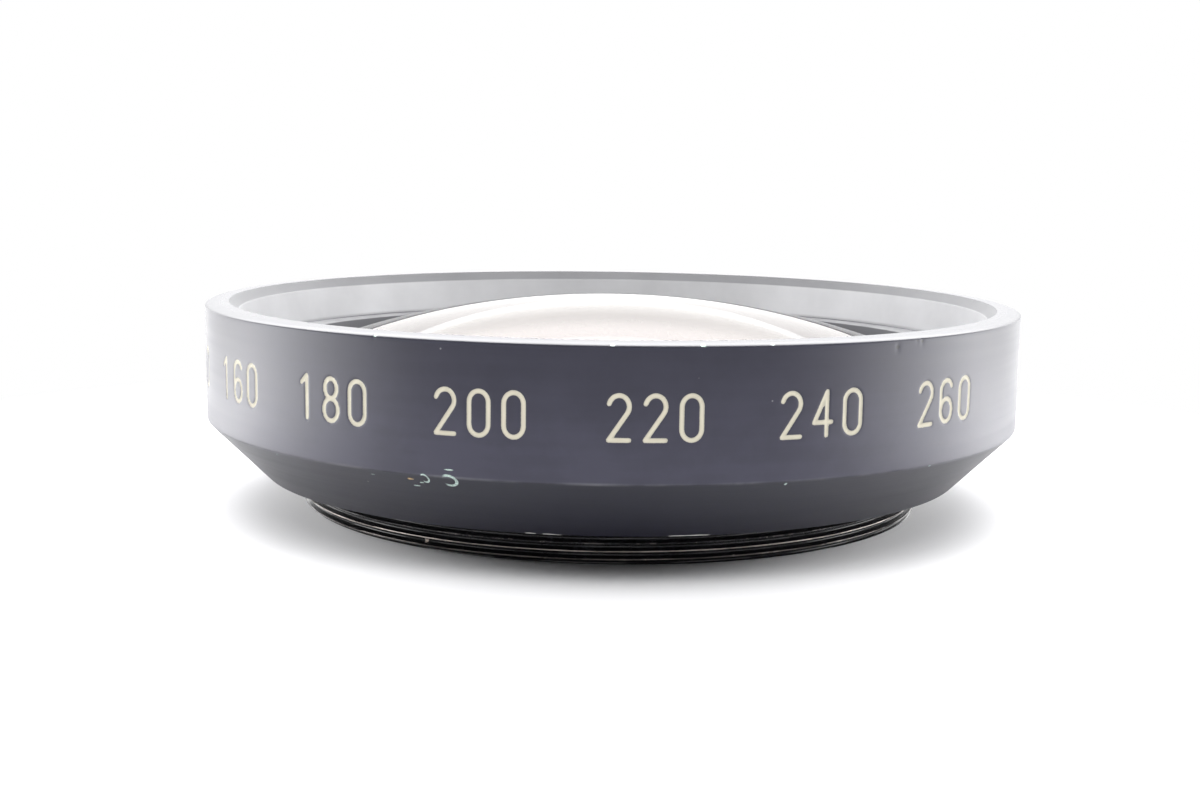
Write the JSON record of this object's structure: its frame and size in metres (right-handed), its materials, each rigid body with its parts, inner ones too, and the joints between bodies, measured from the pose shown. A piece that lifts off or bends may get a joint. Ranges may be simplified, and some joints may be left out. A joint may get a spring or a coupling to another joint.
{
  "type": "wide-angle conversion lens",
  "caption": "Screw-in wide-angle conversion lens: turned black housing with a bevelled rear, large meniscus glass, slotted retaining ring and a male filter-thread mount ring.",
  "frame": {"origin": "centre of the mount ring's flat rear end face, on the optical axis", "axes": "+Z along the optical axis from the camera to the scene, out of the convex front glass; +X through one spanner slot of each ring"},
  "size_m": [0.087, 0.087, 0.0218],
  "materials": {
    "anodised_satin": "satin black anodised, fine turned lines, worn bright at the edges",
    "anodised_gloss": "gloss black anodised, thread crests worn to a thin bright line",
    "anodised_matte": "dull black anodised",
    "optical_glass": "polished and coated, ground and blackened edge"
  },
  "bodies": {
    "root": {"housing": "anodised_satin", "front_glass": "optical_glass", "retaining_ring": "anodised_matte", "mount_ring": "anodised_gloss"}
  },
  "joints": []
}
